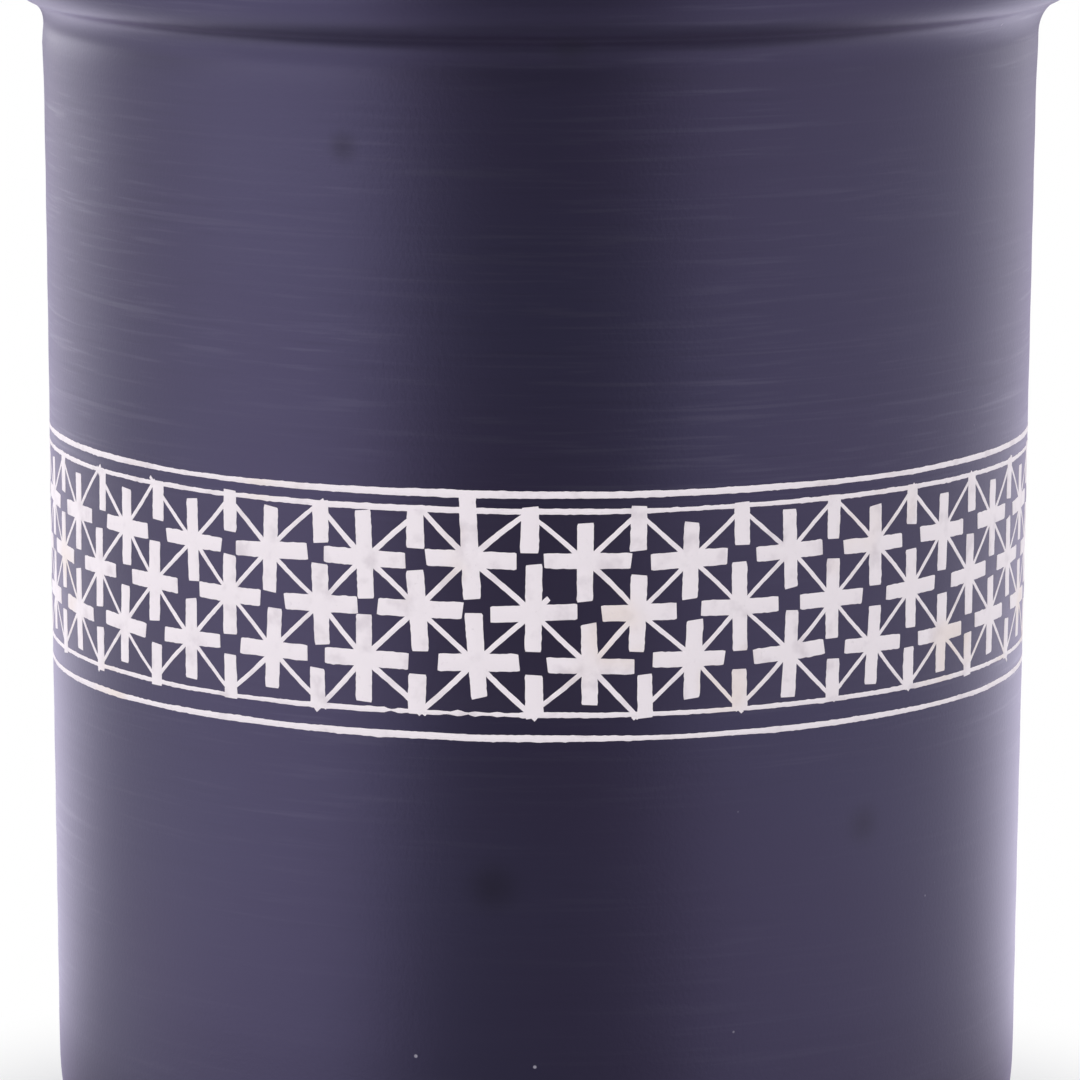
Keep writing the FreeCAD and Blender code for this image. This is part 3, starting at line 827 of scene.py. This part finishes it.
def pale_floor():
    """A pale floor that takes the pot's shadow and turns to plain white away from it.

    The polish mirrors it as a glow of painted light: the tent's light painted on it, dim in front, bright to
    the left and behind, and a painted shadow near the foot.
    """
    material, paint = new_paint("pale_floor")
    place = paint.place()
    away = paint.vector("LENGTH", place, out=1)
    rays = paint.node("ShaderNodeLightPath").socket.node.outputs
    seen, mirrored = Wire(paint, rays["Is Camera Ray"]), Wire(paint, rays["Is Glossy Ray"])
    matt = paint.node("ShaderNodeBsdfDiffuse", {}, {"Color": FLOOR_GREY})
    white = paint.node("ShaderNodeEmission", {}, {"Color": WHITE, "Strength": 1.0})
    front, left = facing(paint, place, FRONT), facing(paint, place, FRONT_LEFT)
    near = 1 - away.between(0.12, 0.80)
    # Painted light for mirror rays: a glow that stands for the tent's light on the floor, lighter to the left
    # and behind, near the pot.
    painted_glow_strength = tent_opening(front).ramp(0.92, TENT_OPENING) + near * tent_opening(front) * 0.22
    painted_glow_strength = painted_glow_strength + left.between(0.70, 0.97) * 0.36
    painted_glow_strength = painted_glow_strength + (front * -1).between(0.2, 0.85) * near.ramp(0.05, 1.20)
    # Painted shadow: the glow is dimmed close around the pot's foot.
    painted_glow_strength = painted_glow_strength * tent_back(front).ramp(1.0, TENT_BACK) * away.between(0.070, 0.118).ramp(0.30, 1.0)
    tent = paint.node("ShaderNodeEmission", {}, {"Color": PAINTED_FLOOR_GLOW_TINT, "Strength": painted_glow_strength})
    past_shadow, past_foot = away.between(0.048, 0.092), away.between(0.042, 0.065)
    shown = paint.node("ShaderNodeMixShader", {}, {0: seen * past_shadow, 1: matt, 2: white})
    paint.output(paint.node("ShaderNodeMixShader", {}, {0: mirrored * past_foot, 1: shown, 2: tent}))
    mesh = bpy.data.meshes.new("floor")
    corners = [(x * FLOOR_REACH, y * FLOOR_REACH, 0) for x, y in ((-1, -1), (1, -1), (1, 1), (-1, 1))]
    mesh.from_pydata(corners, [], [(0, 1, 2, 3)])
    mesh.materials.append(material)
    floor = bpy.data.objects.new("floor", mesh)
    bpy.context.scene.collection.objects.link(floor)


def white_tent():
    """White to the eye, and the even light of a white tent on the pot."""
    world = bpy.data.worlds.new("white_tent")
    bpy.context.scene.world = world
    world.use_nodes = True
    paint = Paint(world.node_tree)
    direction, seen = paint.node("ShaderNodeTexCoord"), paint.node("ShaderNodeLightPath")
    front = facing(paint, direction, FRONT)
    light = tent_opening(front).ramp(0.80, TENT_OPENING) * tent_back(front).ramp(1.0, TENT_BACK)
    even = paint.node("ShaderNodeBackground", {}, {"Color": WHITE, "Strength": light})
    white = paint.node("ShaderNodeBackground", {}, {"Color": WHITE, "Strength": 1.0})
    mixed = paint.node("ShaderNodeMixShader", {}, {0: seen, 1: even, 2: white})
    paint.output(mixed, "ShaderNodeOutputWorld")


# Azimuth (0 in front of the pot, 90 to its right) and elevation in degrees, distance, width and height in
# metres, and power in watts.
SOFT_BOXES = {
    "left_soft_box": (-58, 10, 1.2, 1.0, 1.2, 3),
    "left_rear_soft_box": (-136, 14, 1.3, 0.9, 1.2, 5.8),
    "right_rear_soft_box": (140, 14, 1.3, 0.9, 1.2, 3.4),
    "high_front_soft_box": (8, 60, 1.2, 0.8, 0.6, 4.0),
}


def soft_box(name, azimuth, elevation, distance, width, height, power):
    """A large soft lamp that faces the pot's middle."""
    lamp = bpy.data.lights.new(name, "AREA")
    lamp.shape, lamp.size, lamp.size_y, lamp.energy = "RECTANGLE", width, height, power
    holder = bpy.data.objects.new(name, lamp)
    bpy.context.scene.collection.objects.link(holder)
    aim = Vector((0, 0, POT_HEIGHT / 2))
    a, e = math.radians(azimuth), math.radians(elevation)
    away = Vector((math.sin(a) * math.cos(e), -math.cos(a) * math.cos(e), math.sin(e)))
    holder.location = aim + away * distance
    holder.rotation_mode = "QUATERNION"
    holder.rotation_quaternion = away.to_track_quat("Z", "Y")
    holder.visible_camera = False


EYE_AWAY, EYE_HEIGHT = 727.4 * MM, 184.5 * MM  # from the pot's axis, and above the floor
EYE_TURNED = math.radians(0.9)  # around the pot to its right
AIM_HEIGHT, AIM_ASIDE = 65.4 * MM, 0.18 * MM  # where it looks, up the axis and to the right of it
EYE_TIPPED = math.radians(0.22)  # about its own line of sight
LENS, LENS_FRAME = 244.5, 36.0


def camera():
    """A long lens a little above the pot, turned so that the front star stands just left of the middle."""
    lens = bpy.data.cameras.new("camera")
    lens.lens, lens.sensor_width = LENS, LENS_FRAME
    lens.clip_start, lens.clip_end = 0.05, 60.0
    eye = bpy.data.objects.new("camera", lens)
    bpy.context.scene.collection.objects.link(eye)
    right = Vector((math.cos(EYE_TURNED), math.sin(EYE_TURNED), 0))
    eye.location = (math.sin(EYE_TURNED) * EYE_AWAY, -math.cos(EYE_TURNED) * EYE_AWAY, EYE_HEIGHT)
    aim = Vector((0, 0, AIM_HEIGHT)) + right * AIM_ASIDE
    eye.rotation_mode = "QUATERNION"
    level = (eye.location - aim).to_track_quat("Z", "Y")
    eye.rotation_quaternion = level @ Quaternion((0, 0, 1), EYE_TIPPED)
    bpy.context.scene.camera = eye


def dress_pot():
    clay, paste = burnished_clay(), silver_white_paste()
    thrown_clay(clay)
    for seed, node in enumerate(LINES):
        ring_line(node, 61 + seed * 9, paste)
    for row in (UPPER_ROW, MIDDLE_ROW, LOWER_ROW):
        cross_row(row, paste)
    border_bars("upper_border_bars", "upper_inner_line", -1, paste)
    border_bars("lower_border_bars", "lower_inner_line", 1, paste)
    hairline_gap("hairlines_upper_border", UPPER_ROW, "upper_inner_line", paste)
    hairline_gap("hairlines_upper_to_middle", UPPER_ROW, MIDDLE_ROW, paste)
    hairline_gap("hairlines_middle_to_lower", LOWER_ROW, MIDDLE_ROW, paste)
    hairline_gap("hairlines_lower_border", LOWER_ROW, "lower_inner_line", paste)


dress_pot()
pale_floor()
white_tent()
for name, placing in SOFT_BOXES.items():
    soft_box(name, *placing)
camera()
bpy.context.scene.view_settings.view_transform = "Standard"
